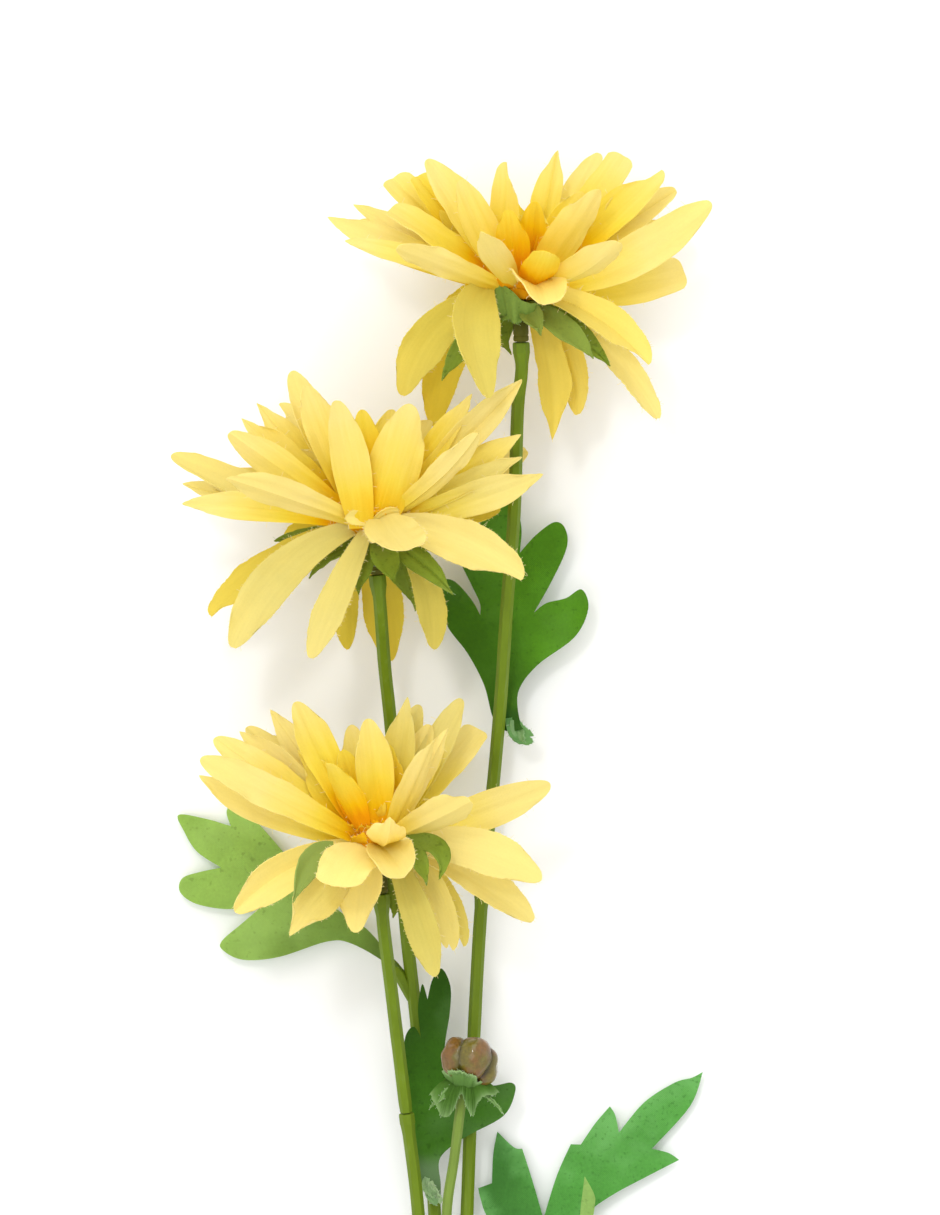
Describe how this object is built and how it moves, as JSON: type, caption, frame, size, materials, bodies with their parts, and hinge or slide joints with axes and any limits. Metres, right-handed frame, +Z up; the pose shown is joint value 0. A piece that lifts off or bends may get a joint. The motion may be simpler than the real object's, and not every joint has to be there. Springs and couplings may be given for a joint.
{
  "type": "daisy",
  "caption": "Cut spray of shaggy yellow daisies with a brown bud and lobed leaves on slim branching stems, lying flat.",
  "frame": {"origin": "on the surface the spray lies on, under the middle of its bounding box", "axes": "+Y along the stems from the cut end towards the blooms, +Z up from the surface, +X to the right seen from above"},
  "size_m": [0.1318, 0.3803, 0.0742],
  "materials": {
    "petal": "woven silk-like fabric, orange-yellow at the heart",
    "sepal": "woven fabric, olive green",
    "peg": "dark olive moulded plastic",
    "stem": "ribbed moulded plastic, olive green",
    "bud": "brown moulded plastic with a soft shine",
    "bud_frill": "frayed light green fabric",
    "leaf": "woven fabric, mid green",
    "light_leaf": "woven fabric, light green",
    "dark_leaf": "woven fabric, dark green",
    "bright_leaf": "woven fabric, bright green",
    "pale_leaf": "woven fabric, pale green"
  },
  "bodies": {
    "root": {"top_bloom_petals": "petal", "top_bloom_calyx": "sepal", "top_bloom_peg": "peg", "middle_bloom_petals": "petal", "middle_bloom_calyx": "sepal", "middle_bloom_peg": "peg", "lower_bloom_petals": "petal", "lower_bloom_calyx": "sepal", "lower_bloom_peg": "peg", "main_stem": "stem", "top_stem_base": "stem", "top_stem_end": "stem", "middle_stem": "stem", "lower_stem_base": "stem", "lower_stem_end": "stem", "bud_stem": "stem", "bud": "bud", "bud_calyx": "bud_frill", "upper_leaf": "leaf", "left_leaf": "light_leaf", "middle_leaf": "dark_leaf", "lower_leaf": "bright_leaf", "young_leaf": "pale_leaf"}
  },
  "joints": []
}
